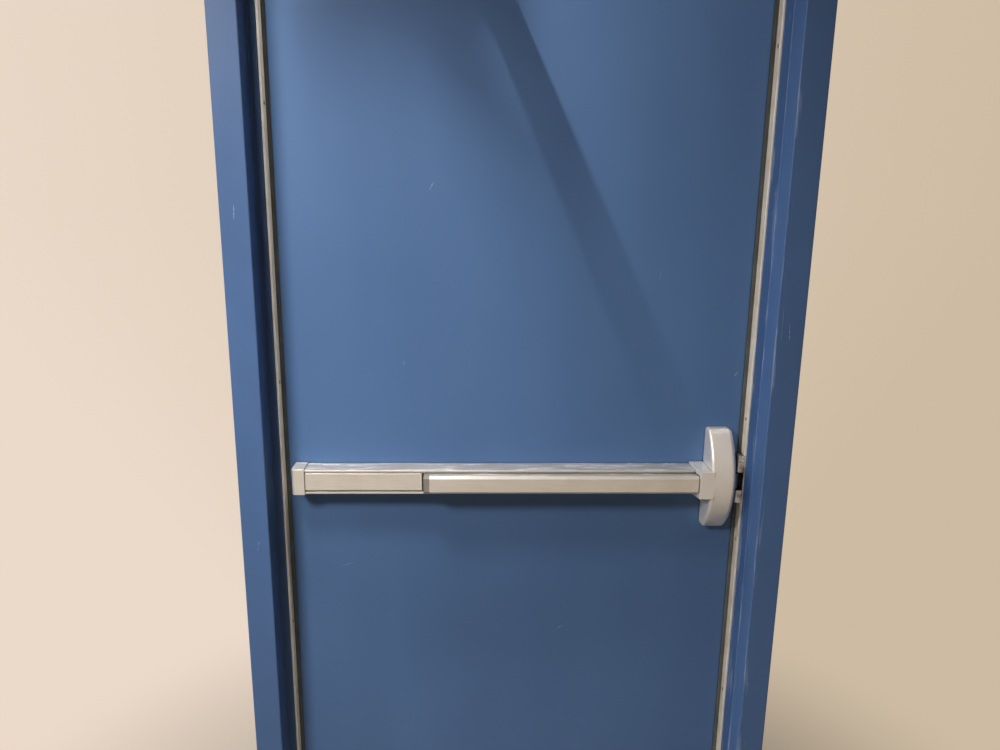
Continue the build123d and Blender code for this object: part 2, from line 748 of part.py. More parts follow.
# Latch bolt with its slope on the closing side.
with BuildPart() as latch_bolt:
    bolt_face = push_face - bolt_back
    with BuildSketch(Plane.XY.offset(bolt_height_z - bolt_height / 2)):
        with BuildLine():
            Polyline((bolt_reach - bolt_length, bolt_face), (bolt_reach, bolt_face),
                     (bolt_reach, bolt_face - 3.0), (bolt_reach - bolt_depth + 3.0, bolt_face - bolt_depth),
                     (bolt_reach - bolt_length, bolt_face - bolt_depth), close=True)
        make_face()
    extrude(amount=bolt_height)
    fillet(latch_bolt.edges().filter_by(Axis.Z).group_by(Axis.X)[-1], 1.2)
save(latch_bolt.part, "latch_bolt")

# Link that draws the bolt back, running from it to the near guide of the pad.
with BuildPart() as latch_link:
    link_left = guide_centres[1] - guide_length / 2
    with Locations((link_left, bolt_face, bolt_height_z)):
        Box(bolt_reach - bolt_length - link_left, link_thickness, link_height,
            align=(Align.MIN, Align.MAX, Align.CENTER))
save(latch_link.part, "latch_link")

# Closer: cast body behind its cover, on the push face under the stop.
closer_top = stop_top - closer_drop + closer_cover_rise
closer_mid = closer_top - closer_cover_height / 2
spindle_y = push_face - spindle_projection
closer_centre_x = spindle_x + closer_offset
with BuildPart() as closer_body:
    with Locations((closer_centre_x, push_face - closer_body_depth / 2, closer_mid)):
        Cylinder(closer_body_height / 2, closer_body_length, rotation=(0, 90, 0))
    with Locations((closer_centre_x, push_face, closer_mid)):
        Box(closer_body_length - 2 * closer_foot_inset, closer_body_depth / 2, closer_body_height,
            align=(Align.CENTER, Align.MAX, Align.CENTER))
    with Locations((spindle_x, spindle_y, closer_mid)):
        Cylinder(spindle_radius + spindle_boss, closer_cover_height - 2 * closer_cover_wall - 1.0)
    with Locations((spindle_x, spindle_y, closer_mid)):
        Cylinder(spindle_radius + pin_clearance, closer_cover_height, mode=Mode.SUBTRACT)
save(closer_body.part, "closer_body")

with BuildPart() as closer_cover:
    with Locations((closer_centre_x, push_face, closer_mid)):
        Box(closer_cover_length, closer_cover_depth, closer_cover_height,
            align=(Align.CENTER, Align.MAX, Align.CENTER))
    fillet(closer_cover.edges().filter_by(Axis.Z).group_by(Axis.Y)[0], closer_cover_radius)
    fillet(closer_cover.faces().sort_by(Axis.Y)[0].edges(), 2.0)
    with Locations((closer_centre_x, push_face + 1.0, closer_mid)):
        Box(closer_cover_length - 2 * closer_cover_wall,
            closer_cover_depth - closer_cover_wall + 1.0, closer_cover_height - 2 * closer_cover_wall,
            align=(Align.CENTER, Align.MAX, Align.CENTER), mode=Mode.SUBTRACT)
    with Locations((spindle_x, spindle_y, closer_top)):
        Cylinder(spindle_radius + spindle_boss / 2, 6 * closer_cover_wall, mode=Mode.SUBTRACT)
save(closer_cover.part, "closer_cover")

# Arms: the hinge pin, the spindle, the elbow and the shoe pivot make a parallelogram.
shoe_pivot_y = -shoe_pivot_forward
elbow_x = spindle_x + shoe_pivot_x - pin_x
elbow_y = spindle_y + shoe_pivot_y - pin_y
main_arm_z = closer_top + arm_clearance + arm_rise
forearm_z = main_arm_z + arm_thickness + arm_clearance
shoe_low = forearm_z + arm_thickness + arm_clearance
shoe_under = stop_top - shoe_thickness


# Flat arm with a round boss at each end, from one pivot to the other.
def arm(x1, y1, r1, x2, y2, r2, z, thickness):
    length = hypot(x2 - x1, y2 - y1)
    ux, uy = (x2 - x1) / length, (y2 - y1) / length
    with BuildPart() as bar:
        with BuildSketch(Plane.XY.offset(z)):
            with Locations((x1, y1)):
                Circle(r1)
            with Locations((x2, y2)):
                Circle(r2)
            with BuildLine():
                w1, w2 = 0.82 * r1, 0.82 * r2
                Polyline((x1 - uy * w1, y1 + ux * w1), (x2 - uy * w2, y2 + ux * w2),
                         (x2 + uy * w2, y2 - ux * w2), (x1 + uy * w1, y1 - ux * w1), close=True)
            make_face()
        extrude(amount=thickness)
        fillet(bar.faces().sort_by(Axis.Z)[-1].edges(), 1.2)
    return bar.part


with BuildPart() as closer_main_arm:
    add(arm(spindle_x, spindle_y, arm_width / 2 + 3.0, elbow_x, elbow_y, arm_width / 2,
            main_arm_z, arm_thickness))
    with Locations((spindle_x, spindle_y, main_arm_z)):
        Cylinder(spindle_radius, main_arm_z - closer_mid,
                 align=(Align.CENTER, Align.CENTER, Align.MAX))
    with Locations((spindle_x, spindle_y, main_arm_z + arm_thickness)):
        Cylinder(spindle_cap_radius, spindle_cap_height, align=(Align.CENTER, Align.CENTER, Align.MIN))
    with Locations((elbow_x, elbow_y, main_arm_z)):
        Cylinder(pivot_pin_radius + pin_clearance, 4 * arm_thickness, mode=Mode.SUBTRACT)
save(closer_main_arm.part, "closer_main_arm")

with BuildPart() as closer_forearm:
    add(arm(elbow_x, elbow_y, arm_width / 2 - 1.0, shoe_pivot_x, shoe_pivot_y, arm_width / 2 - 1.0,
            forearm_z, arm_thickness))
    with Locations((elbow_x, elbow_y, forearm_z)):
        Cylinder(pivot_pin_radius, arm_clearance + arm_thickness + 1.0,
                 align=(Align.CENTER, Align.CENTER, Align.MAX))
    with Locations((elbow_x, elbow_y, main_arm_z - 1.0)):
        Cylinder(elbow_cap_radius, elbow_cap_height, align=(Align.CENTER, Align.CENTER, Align.MAX))
    with Locations((elbow_x, elbow_y, forearm_z + arm_thickness)):
        Cylinder(elbow_cap_radius, elbow_cap_height, align=(Align.CENTER, Align.CENTER, Align.MIN))
save(closer_forearm.part, "closer_forearm")

# Shoe under the head, packed out to the stop by a spacer in the front rabbet.
spacer_front = -half_depth + bend_radius + 0.8
spacer_back = stop_front - bend_radius - 0.2
with BuildPart() as shoe_spacer:
    with Locations((shoe_pivot_x, spacer_front, stop_top)):
        Box(shoe_length, spacer_back - spacer_front, stop_height,
            align=(Align.CENTER, Align.MIN, Align.MIN))
save(shoe_spacer.part, "shoe_spacer")

with BuildPart() as shoe_reinforcement:
    with Locations((shoe_pivot_x, spacer_front, opening_height + frame_sheet)):
        Box(shoe_length + 2 * plate_overhang, spacer_back - spacer_front, plate_thickness,
            align=(Align.CENTER, Align.MIN, Align.MIN))
save(shoe_reinforcement.part, "shoe_reinforcement")

with BuildPart() as closer_shoe:
    with Locations((shoe_pivot_x, spacer_front, stop_top)):
        Box(shoe_length, spacer_back - spacer_front, shoe_thickness,
            align=(Align.CENTER, Align.MIN, Align.MAX))
    fillet(closer_shoe.edges().filter_by(Axis.Z), shoe_corner_radius)
    with Locations((shoe_pivot_x, shoe_pivot_y, shoe_under)):
        Cylinder(shoe_boss_radius, shoe_under - shoe_low,
                 align=(Align.CENTER, Align.CENTER, Align.MAX))
save(closer_shoe.part, "closer_shoe")
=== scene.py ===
import bpy
import json
import numpy as np
from math import cos, radians, sin
from mathutils import Matrix, Vector


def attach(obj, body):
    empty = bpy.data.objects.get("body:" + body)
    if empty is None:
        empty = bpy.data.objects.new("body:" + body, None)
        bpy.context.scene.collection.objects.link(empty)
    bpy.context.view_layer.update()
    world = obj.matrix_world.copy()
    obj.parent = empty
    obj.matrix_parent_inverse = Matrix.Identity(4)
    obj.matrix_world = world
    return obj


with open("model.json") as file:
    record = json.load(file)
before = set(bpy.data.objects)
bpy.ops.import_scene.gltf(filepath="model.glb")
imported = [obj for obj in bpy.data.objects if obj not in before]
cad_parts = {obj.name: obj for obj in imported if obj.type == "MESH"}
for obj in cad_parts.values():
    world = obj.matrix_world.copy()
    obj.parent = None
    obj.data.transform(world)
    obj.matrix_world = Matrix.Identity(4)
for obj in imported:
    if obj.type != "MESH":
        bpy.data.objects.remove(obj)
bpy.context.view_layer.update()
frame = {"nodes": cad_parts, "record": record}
nodes = frame["nodes"]
mm = 0.001
bpy.context.scene.view_settings.view_transform = "Standard"
print("frame loaded,", len(nodes), "nodes")


def linear(code):
    # sRGB hex to linear: c / 12.92 under 0.04045, otherwise ((c + 0.055) / 1.055) ^ 2.4
    c = np.array([int(code[i:i + 2], 16) for i in (1, 3, 5)]) / 255
    return (*np.where(c <= 0.04045, c / 12.92, ((c + 0.055) / 1.055) ** 2.4), 1.0)


def addNode(tree, kind, inputs=None, stops=None, **settings):
    # one node with its attributes, its ramp stops, and its inputs filled or linked
    node = tree.nodes.new(kind)
    for key, value in settings.items():
        setattr(node, key, value)
    if stops:
        while len(node.color_ramp.elements) < len(stops):
            node.color_ramp.elements.new(0.5)
        for element, (place, colour) in zip(node.color_ramp.elements, stops):
            element.position, element.color = place, colour
    for key, value in (inputs or {}).items():
        if isinstance(value, bpy.types.NodeSocket):
            tree.links.new(value, node.inputs[key])
        else:
            node.inputs[key].default_value = value
    return node


def newMaterial(name, roughness=0.5, metallic=0.0):
    # a Principled material, with the object's own coordinates to lay its patterns by
    material = bpy.data.materials.new(name)
    material.use_nodes = True
    tree = material.node_tree
    shader = tree.nodes["Principled BSDF"]
    shader.inputs["Roughness"].default_value = roughness
    shader.inputs["Metallic"].default_value = metallic
    place = addNode(tree, "ShaderNodeTexCoord").outputs["Object"]
    return material, tree, shader, place


sharpTurn = 35  # degrees


def addPiece(name, verts, faces, material, body):
    # a mesh that rides on a body, smooth but sharp where its faces turn more than sharpTurn
    mesh = bpy.data.meshes.new(name)
    mesh.from_pydata(np.asarray(verts).tolist(), [], faces)
    mesh.materials.append(material)
    mesh.validate()
    mesh.update()
    mesh.polygons.foreach_set("use_smooth", [True] * len(mesh.polygons))
    mesh.set_sharp_from_angle(angle=radians(sharpTurn))
    piece = bpy.data.objects.new(name, mesh)
    bpy.context.scene.collection.objects.link(piece)
    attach(piece, body)
    return piece


# focal is in pixels of a picture 1000 wide, angles are in degrees, sensor is in mm
view = {"place": (-0.0717, -1.3776, 1.535), "yaw": 1.704, "pitch": 12.912, "roll": -0.62,
        "focal": 760, "width": 1000, "sensor": 36}


def placeCamera(spec):
    # forward = (sin y cos p, cos y cos p, -sin p), then right and down turned by the roll
    y, p, r = (radians(spec[k]) for k in ("yaw", "pitch", "roll"))
    forward = Vector((sin(y) * cos(p), cos(y) * cos(p), -sin(p)))
    right = Vector((cos(y), -sin(y), 0))
    down = forward.cross(right)
    across = cos(r) * right + sin(r) * down
    below = cos(r) * down - sin(r) * right
    data = bpy.data.cameras.new("viewpoint")
    data.sensor_width = spec["sensor"]
    data.lens = spec["focal"] / spec["width"] * spec["sensor"]
    data.clip_end = 200
    camera = bpy.data.objects.new("viewpoint", data)
    turn = Matrix((across, -below, -forward)).transposed().to_4x4()
    camera.matrix_world = Matrix.Translation(spec["place"]) @ turn
    bpy.context.scene.collection.objects.link(camera)
    bpy.context.scene.camera = camera


placeCamera(view)
print("camera placed")


# patterns drawn out upright, 14 times longer than wide
upright = (1.0, 1.0, 0.07)


def markMask(tree, place, marks):
    # 0 on every ellipsoid (u / length)^2 + (v / 4 mm)^2 + (w / width)^2 = 1, rising to 1 at 0.6 of its
    # size, and broken up by a noise of 5 mm
    total = None
    for x, y, z, lean, length, width in marks:
        local = addNode(tree, "ShaderNodeMapping", {"Vector": place, "Location": (x * mm, y * mm, z * mm),
                                                    "Rotation": (0, radians(lean), 0),
                                                    "Scale": (width * mm, 4 * mm, length * mm)},
                        vector_type="TEXTURE")
        reach = addNode(tree, "ShaderNodeVectorMath", {0: local.outputs["Vector"]}, operation="LENGTH")
        inside = addNode(tree, "ShaderNodeMapRange", {"Value": reach.outputs["Value"], "From Min": 1.0,
                                                      "From Max": 0.6})
        mask = inside.outputs["Result"]
        total = mask if total is None else addNode(tree, "ShaderNodeMath", {0: total, 1: mask},
                                                   operation="MAXIMUM").outputs[0]
    crumbs = addNode(tree, "ShaderNodeTexNoise", {"Vector": place, "Scale": 1000 / 5, "Detail": 3.0})
    broken = addNode(tree, "ShaderNodeMapRange", {"Value": crumbs.outputs["Fac"], "From Min": 0.38,
                                                  "From Max": 0.58})
    return addNode(tree, "ShaderNodeMath", {0: total, 1: broken.outputs["Result"]},
                   operation="MULTIPLY").outputs[0]


def chipMask(tree, place, spec):
    # worn upright corners: noise - cut - fall * (distance from the nearest corner / width of the band),
    # where 0.1 and more is fully bare
    drawn = addNode(tree, "ShaderNodeMapping", {"Vector": place, "Scale": upright})
    ragged = addNode(tree, "ShaderNodeTexNoise", {"Vector": drawn.outputs["Vector"], "Scale": 1000 / 9,
                                                  "Detail": 5.0, "Roughness": 0.65})
    grid = addNode(tree, "ShaderNodeSeparateXYZ", {0: place})
    (high, narrow), (low, wide) = spec["band"]
    band = addNode(tree, "ShaderNodeMapRange", {"Value": grid.outputs["Z"], "From Min": high * mm,
                                                "From Max": low * mm, "To Min": narrow * mm,
                                                "To Max": wide * mm})
    near = None
    for x, y in spec["corners"]:
        offset = addNode(tree, "ShaderNodeVectorMath", {0: place, 1: (x * mm, y * mm, 0)},
                         operation="SUBTRACT")
        flat = addNode(tree, "ShaderNodeVectorMath", {0: offset.outputs[0], 1: (1, 1, 0)},
                       operation="MULTIPLY")
        reach = addNode(tree, "ShaderNodeVectorMath", {0: flat.outputs[0]}, operation="LENGTH")
        part = addNode(tree, "ShaderNodeMath", {0: reach.outputs["Value"], 1: band.outputs["Result"]},
                       operation="DIVIDE").outputs[0]
        near = part if near is None else addNode(tree, "ShaderNodeMath", {0: near, 1: part},
                                                 operation="MINIMUM").outputs[0]
    gap = addNode(tree, "ShaderNodeMath", {0: near, 1: spec["fall"], 2: spec["cut"]},
                  operation="MULTIPLY_ADD")
    bare = addNode(tree, "ShaderNodeMath", {0: ragged.outputs["Fac"], 1: gap.outputs[0]},
                   operation="SUBTRACT")
    return addNode(tree, "ShaderNodeMapRange", {"Value": bare.outputs[0], "From Min": 0.0, "From Max": 0.1,
                                                "To Max": spec["opacity"]}).outputs["Result"]


def dustAndShadeMasks(tree, place, spec):
    # a grey film of dust and painted shade on faces that look up, and on it flakes of paint dust drawn out
    # along x
    facing = addNode(tree, "ShaderNodeNewGeometry").outputs["Normal"]
    up = addNode(tree, "ShaderNodeSeparateXYZ", {0: facing})
    level = addNode(tree, "ShaderNodeMapRange", {"Value": up.outputs["Z"], "From Min": 0.6, "From Max": 0.95})
    along = addNode(tree, "ShaderNodeMapping", {"Vector": place, "Scale": (0.12, 1, 1)})
    flakes = addNode(tree, "ShaderNodeTexNoise", {"Vector": along.outputs["Vector"], "Scale": 1000 / 9,
                                                  "Detail": 5.0, "Roughness": 0.7})
    spots = addNode(tree, "ShaderNodeMapRange", {"Value": flakes.outputs["Fac"], "From Min": 0.5,
                                                 "From Max": 0.64, "To Max": spec["dustCover"]})
    film = addNode(tree, "ShaderNodeMath", {0: level.outputs["Result"], 1: spec["filmCover"]},
                   operation="MULTIPLY")
    dust = addNode(tree, "ShaderNodeMath", {0: level.outputs["Result"], 1: spots.outputs["Result"]},
                   operation="MULTIPLY")
    return film.outputs[0], dust.outputs[0]


def edgeMask(tree, radius):
    # the normal rounded over a radius, and 1 along edges, where it leaves the true normal
    rounded = addNode(tree, "ShaderNodeBevel", {"Radius": radius * mm}, samples=4).outputs["Normal"]
    true = addNode(tree, "ShaderNodeNewGeometry").outputs["Normal"]
    agree = addNode(tree, "ShaderNodeVectorMath", {0: rounded, 1: true}, operation="DOT_PRODUCT")
    edge = addNode(tree, "ShaderNodeMapRange", {"Value": agree.outputs["Value"], "From Min": 0.99,
                                                "From Max": 0.86})
    return rounded, edge.outputs["Result"]


def jointShade(tree, reach):
    # painted shade: 0.03 in a joint, where little sky is seen within the reach, up to 1 on an open face
    sky = addNode(tree, "ShaderNodeAmbientOcclusion", {"Distance": reach * mm}, samples=6)
    return addNode(tree, "ShaderNodeMapRange", {"Value": sky.outputs["AO"], "From Min": 0.3, "From Max": 0.7,
                                                "To Min": 0.03}).outputs["Result"]


# marks are (x, y, z, lean in degrees, half length, half width) in mm; scratches are pale, scuffs dark
doorEnamel = {
    "colour": "#4e6d9a", "shade": "#4b6a96", "light": "#52729f", "stipple": 2.2, "cloud": 500,
    "rough": (0.46, 0.56), "reach": 6,
    "scratch": "#93a6c4",
    "scratches": [(-156, 12.7, 1558, 27, 12, 0.9), (417, 12.7, 1220, 34, 7, 1.2),
                  (-210, 12.7, 1240, -12, 9, 0.6), (96, 12.7, 690, 62, 14, 0.7),
                  (262, 12.7, 1406, 8, 10, 0.5), (-330, 12.7, 830, 71, 16, 0.7)],
    "scuff": "#38506f",
    "scuffs": [(-120, 12.7, 236, 84, 60, 5), (210, 12.7, 178, 95, 85, 6),
               (330, 12.7, 300, 80, 40, 4), (-300, 12.7, 140, 100, 70, 5)]}
# the paint is worn on the right jamb's corners, in a band 6 mm wide at 1.9 m and 12 mm wide at 0.3 m
frameEnamel = {
    "colour": "#4e6d9d", "shade": "#4a6998", "light": "#5373a4", "stipple": 3.0, "cloud": 260,
    "rough": (0.34, 0.46), "reach": 6,
    "scratch": "#93a6c4",
    "scratches": [(-483, -60.3, 1512, 3, 16, 1.0), (481, -60.3, 1312, -5, 20, 1.0),
                  (-478, -60.3, 905, 12, 12, 0.8)],
    "scuff": "#38506f",
    "scuffs": [(-482, -60.3, 250, 88, 24, 4), (480, -60.3, 205, 92, 20, 4)],
    "bare": {"colour": "#93a5c3", "opacity": 0.6, "cut": 0.49, "fall": 0.13,
             "band": ((1900, 6), (300, 12)),
             "corners": [(457.2, -60.3), (441.3, -11.1), (457.2, -11.1)]}}


def enamel(name, spec):
    # satin enamel on steel, rolled or brushed: cloudy tone, fine stipple, soft uneven gloss, old knocks
    material, tree, shader, place = newMaterial(name)
    cloud = addNode(tree, "ShaderNodeTexNoise", {"Vector": place, "Scale": 1000 / spec["cloud"],
                                                 "Detail": 4.0, "Roughness": 0.55})
    tone = addNode(tree, "ShaderNodeValToRGB", {"Fac": cloud.outputs["Fac"]},
                   stops=[(0.3, linear(spec["shade"])), (0.5, linear(spec["colour"])),
                          (0.72, linear(spec["light"]))])
    # lap marks of the strokes, long and upright, 180 mm apart
    drawn = addNode(tree, "ShaderNodeMapping", {"Vector": place, "Scale": upright})
    laps = addNode(tree, "ShaderNodeTexNoise", {"Vector": drawn.outputs["Vector"], "Scale": 1000 / 180,
                                                "Detail": 2.0})
    lapTone = addNode(tree, "ShaderNodeMapRange", {"Value": laps.outputs["Fac"], "From Min": 0.3,
                                                   "From Max": 0.7, "To Min": 0.955, "To Max": 1.03})
    rolled = addNode(tree, "ShaderNodeVectorMath",
                     {0: tone.outputs["Color"], "Scale": lapTone.outputs["Result"]}, operation="SCALE")
    # stipple, drawn a little coarser than the real 1.5 mm so that it shows
    stipple = addNode(tree, "ShaderNodeTexNoise", {"Vector": place, "Scale": 1000 / spec["stipple"],
                                                   "Detail": 3.0, "Roughness": 0.6})
    bump = addNode(tree, "ShaderNodeBump", {"Height": stipple.outputs["Fac"], "Strength": 0.12,
                                            "Distance": 0.4 * mm})
    gloss = addNode(tree, "ShaderNodeMapRange", {"Value": cloud.outputs["Fac"], "From Min": 0.3,
                                                 "From Max": 0.7, "To Min": spec["rough"][0],
                                                 "To Max": spec["rough"][1]})
    colour = rolled.outputs["Vector"]
    worn = [(markMask(tree, place, spec["scuffs"]), spec["scuff"]),
            (markMask(tree, place, spec["scratches"]), spec["scratch"])]
    if "bare" in spec:
        worn.append((chipMask(tree, place, spec["bare"]), spec["bare"]["colour"]))
    for mask, code in worn:
        layer = addNode(tree, "ShaderNodeMix", {0: mask, 6: colour, 7: linear(code)}, data_type="RGBA")
        colour = layer.outputs[2]
    # painted shade: the colour is darkened towards black in joints and gaps
    shadedInGaps = addNode(tree, "ShaderNodeVectorMath", {0: colour, "Scale": jointShade(tree, spec["reach"])},
                     operation="SCALE")
    tree.links.new(shadedInGaps.outputs["Vector"], shader.inputs["Base Color"])
    tree.links.new(gloss.outputs["Result"], shader.inputs["Roughness"])
    tree.links.new(bump.outputs["Normal"], shader.inputs["Normal"])
    shader.inputs["Specular IOR Level"].default_value = 0.35
    return material


doorPaint = enamel("satin enamel, rolled on the door", doorEnamel)
framePaint = enamel("satin enamel, brushed on the frame", frameEnamel)


def galvanised():
    # hot-dip zinc on steel sheet: spangle cells of 9 mm, each with its own grey and gloss
    material, tree, shader, place = newMaterial("galvanised steel sheet", metallic=1.0)
    cells = addNode(tree, "ShaderNodeTexVoronoi", {"Vector": place, "Scale": 1000 / 9})
    grey = addNode(tree, "ShaderNodeValToRGB", {"Fac": cells.outputs["Color"]},
                   stops=[(0.0, linear("#8f9294")), (1.0, linear("#b4b7b8"))])
    dull = addNode(tree, "ShaderNodeMapRange", {"Value": cells.outputs["Color"], "To Min": 0.38,
                                                "To Max": 0.6})
    tree.links.new(grey.outputs["Color"], shader.inputs["Base Color"])
    tree.links.new(dull.outputs["Result"], shader.inputs["Roughness"])
    return material


# bare metal where an edge is rubbed bright, and a painted highlight along every edge
rubbedEdgeAndHighlight = "#f4f1eb"


def satinMetal(name, spec):
    # ground or drawn metal: grain along the draw, cloudy tarnish, rubbed edges with a painted highlight,
    # painted shade in joints
    material, tree, shader, place = newMaterial(name, metallic=spec["metallic"])
    along = addNode(tree, "ShaderNodeMapping", {"Vector": place, "Scale": spec["stretch"]})
    grain = addNode(tree, "ShaderNodeTexNoise", {"Vector": along.outputs["Vector"],
                                                 "Scale": 1000 / spec["grain"], "Detail": 3.0})
    tarnish = addNode(tree, "ShaderNodeTexNoise", {"Vector": place, "Scale": 1000 / spec["tarnish"],
                                                   "Detail": 5.0, "Roughness": 0.65})
    tone = addNode(tree, "ShaderNodeValToRGB", {"Fac": tarnish.outputs["Fac"]},
                   stops=[(0.32, linear(spec["dark"])), (0.5, linear(spec["colour"])),
                          (0.68, linear(spec["light"]))])
    streak = addNode(tree, "ShaderNodeMapRange", {"Value": grain.outputs["Fac"], "From Min": 0.3,
                                                  "From Max": 0.7, "To Min": spec["streak"],
                                                  "To Max": 1.06})
    drawn = addNode(tree, "ShaderNodeVectorMath",
                    {0: tone.outputs["Color"], "Scale": streak.outputs["Result"]}, operation="SCALE")
    gloss = addNode(tree, "ShaderNodeMapRange", {"Value": grain.outputs["Fac"], "From Min": 0.3,
                                                 "From Max": 0.7, "To Min": spec["rough"][0],
                                                 "To Max": spec["rough"][1]})
    rounded, edge = edgeMask(tree, spec["edge"])
    edgeWearAndHighlight = addNode(tree, "ShaderNodeMath", {0: edge, 1: spec["edgeRubAndHighlight"]}, operation="MULTIPLY")
    worn = [(edgeWearAndHighlight.outputs[0], rubbedEdgeAndHighlight)]
    if "dust" in spec:
        film, dust = dustAndShadeMasks(tree, place, spec)
        flecks = markMask(tree, place, spec["flecks"])
        worn += [(film, spec["film"]), (dust, spec["dust"]), (flecks, spec["fleck"])]
    # each layer hides the colour under it, and the metal's shine with it
    colour, shine = drawn.outputs["Vector"], spec["metallic"]
    for mask, code in worn:
        layer = addNode(tree, "ShaderNodeMix", {0: mask, 6: colour, 7: linear(code)}, data_type="RGBA")
        dull = addNode(tree, "ShaderNodeMapRange", {"Value": mask, "To Min": shine, "To Max": 0.0})
        colour, shine = layer.outputs[2], dull.outputs["Result"]
    # painted shade: the colour is darkened towards black in joints and gaps
    shadedInGaps = addNode(tree, "ShaderNodeVectorMath", {0: colour, "Scale": jointShade(tree, spec["reach"])},
                     operation="SCALE")
    bump = addNode(tree, "ShaderNodeBump", {"Height": grain.outputs["Fac"], "Strength": spec["bump"],
                                            "Distance": 0.3 * mm, "Normal": rounded})
    tree.links.new(shine, shader.inputs["Metallic"])
    tree.links.new(shadedInGaps.outputs["Vector"], shader.inputs["Base Color"])
    tree.links.new(gloss.outputs["Result"], shader.inputs["Roughness"])
    tree.links.new(bump.outputs["Normal"], shader.inputs["Normal"])
    return material


bareSteel = galvanised()
# grain, tarnish and cloud are the sizes of patterns, edge and reach those of the masks, all in mm
# satin nickel plate on the hinges, ground across the leaf
hingeSteel = satinMetal("satin nickel plated steel", {
    "metallic": 1.0, "stretch": (1, 0.08, 1), "grain": 0.9, "tarnish": 60, "dark": "#8f8a82",
    "colour": "#a39d93", "light": "#b3ada2", "rough": (0.28, 0.42), "bump": 0.1,
    "streak": 0.9, "edge": 0.4, "reach": 6, "edgeRubAndHighlight": 0.3})
# mill aluminium of the seal, drawn along its length, with years of dust and paint haze
sealMetal = satinMetal("mill aluminium, weathered", {
    "metallic": 0.15, "stretch": (1, 1, 0.03), "grain": 1.6, "tarnish": 45, "dark": "#ddd2c0",
    "colour": "#eae1d3", "light": "#f3ede2", "rough": (0.4, 0.55), "bump": 0.15,
    "streak": 0.74, "edge": 0.4, "reach": 6, "edgeRubAndHighlight": 0.2})
# extruded bar with a fine satin lacquer over the aluminium, dusty and flecked with paint on top; the grey top
# film is also painted shade
barMetal = satinMetal("aluminium lacquer on the bar", {
    "metallic": 0.5, "stretch": (0.03, 1, 1), "grain": 1.2, "tarnish": 90, "dark": "#d5d0c6",
    "colour": "#dcd7ce", "light": "#e3dfd7", "rough": (0.38, 0.5), "bump": 0.05,
    "streak": 0.95, "edge": 0.7, "reach": 10, "edgeRubAndHighlight": 0.4,
    "film": "#94959c", "filmCover": 0.55, "dust": "#f4f4f6", "dustCover": 0.9, "fleck": "#f6f5f2",
    "flecks": [(-115, 13, 1042, 90, 6, 3), (300, 9, 1042, 90, 17, 3), (258, 12, 1042, 90, 8, 2),
               (226, 12, 1042, 90, 12, 2), (-352, 3, 1042, 90, 26, 2), (-382, 10, 1042, 90, 14, 2),
               (340, -22, 1042, 90, 5, 3)]})
# plated strike and bolt, scratched where the bolt rides over them; the long reach paints deep shade in the
# opening
strikeMetal = satinMetal("dull chrome on steel, worn", {
    "metallic": 0.6, "stretch": (0.2, 0.2, 1), "grain": 1.4, "tarnish": 14, "dark": "#908d8b",
    "colour": "#d8d5d2", "light": "#ecebea", "rough": (0.24, 0.42), "bump": 0.15,
    "streak": 0.9, "edge": 0.6, "reach": 18, "edgeRubAndHighlight": 0.6})
# zinc plated fasteners
screwMetal = satinMetal("zinc plated screw", {
    "metallic": 0.9, "stretch": (1, 1, 1), "grain": 1.0, "tarnish": 6, "dark": "#7b766e",
    "colour": "#a8a297", "light": "#c2bcb0", "rough": (0.3, 0.5), "bump": 0.1,
    "streak": 0.9, "edge": 0.2, "reach": 2, "edgeRubAndHighlight": 0.3})


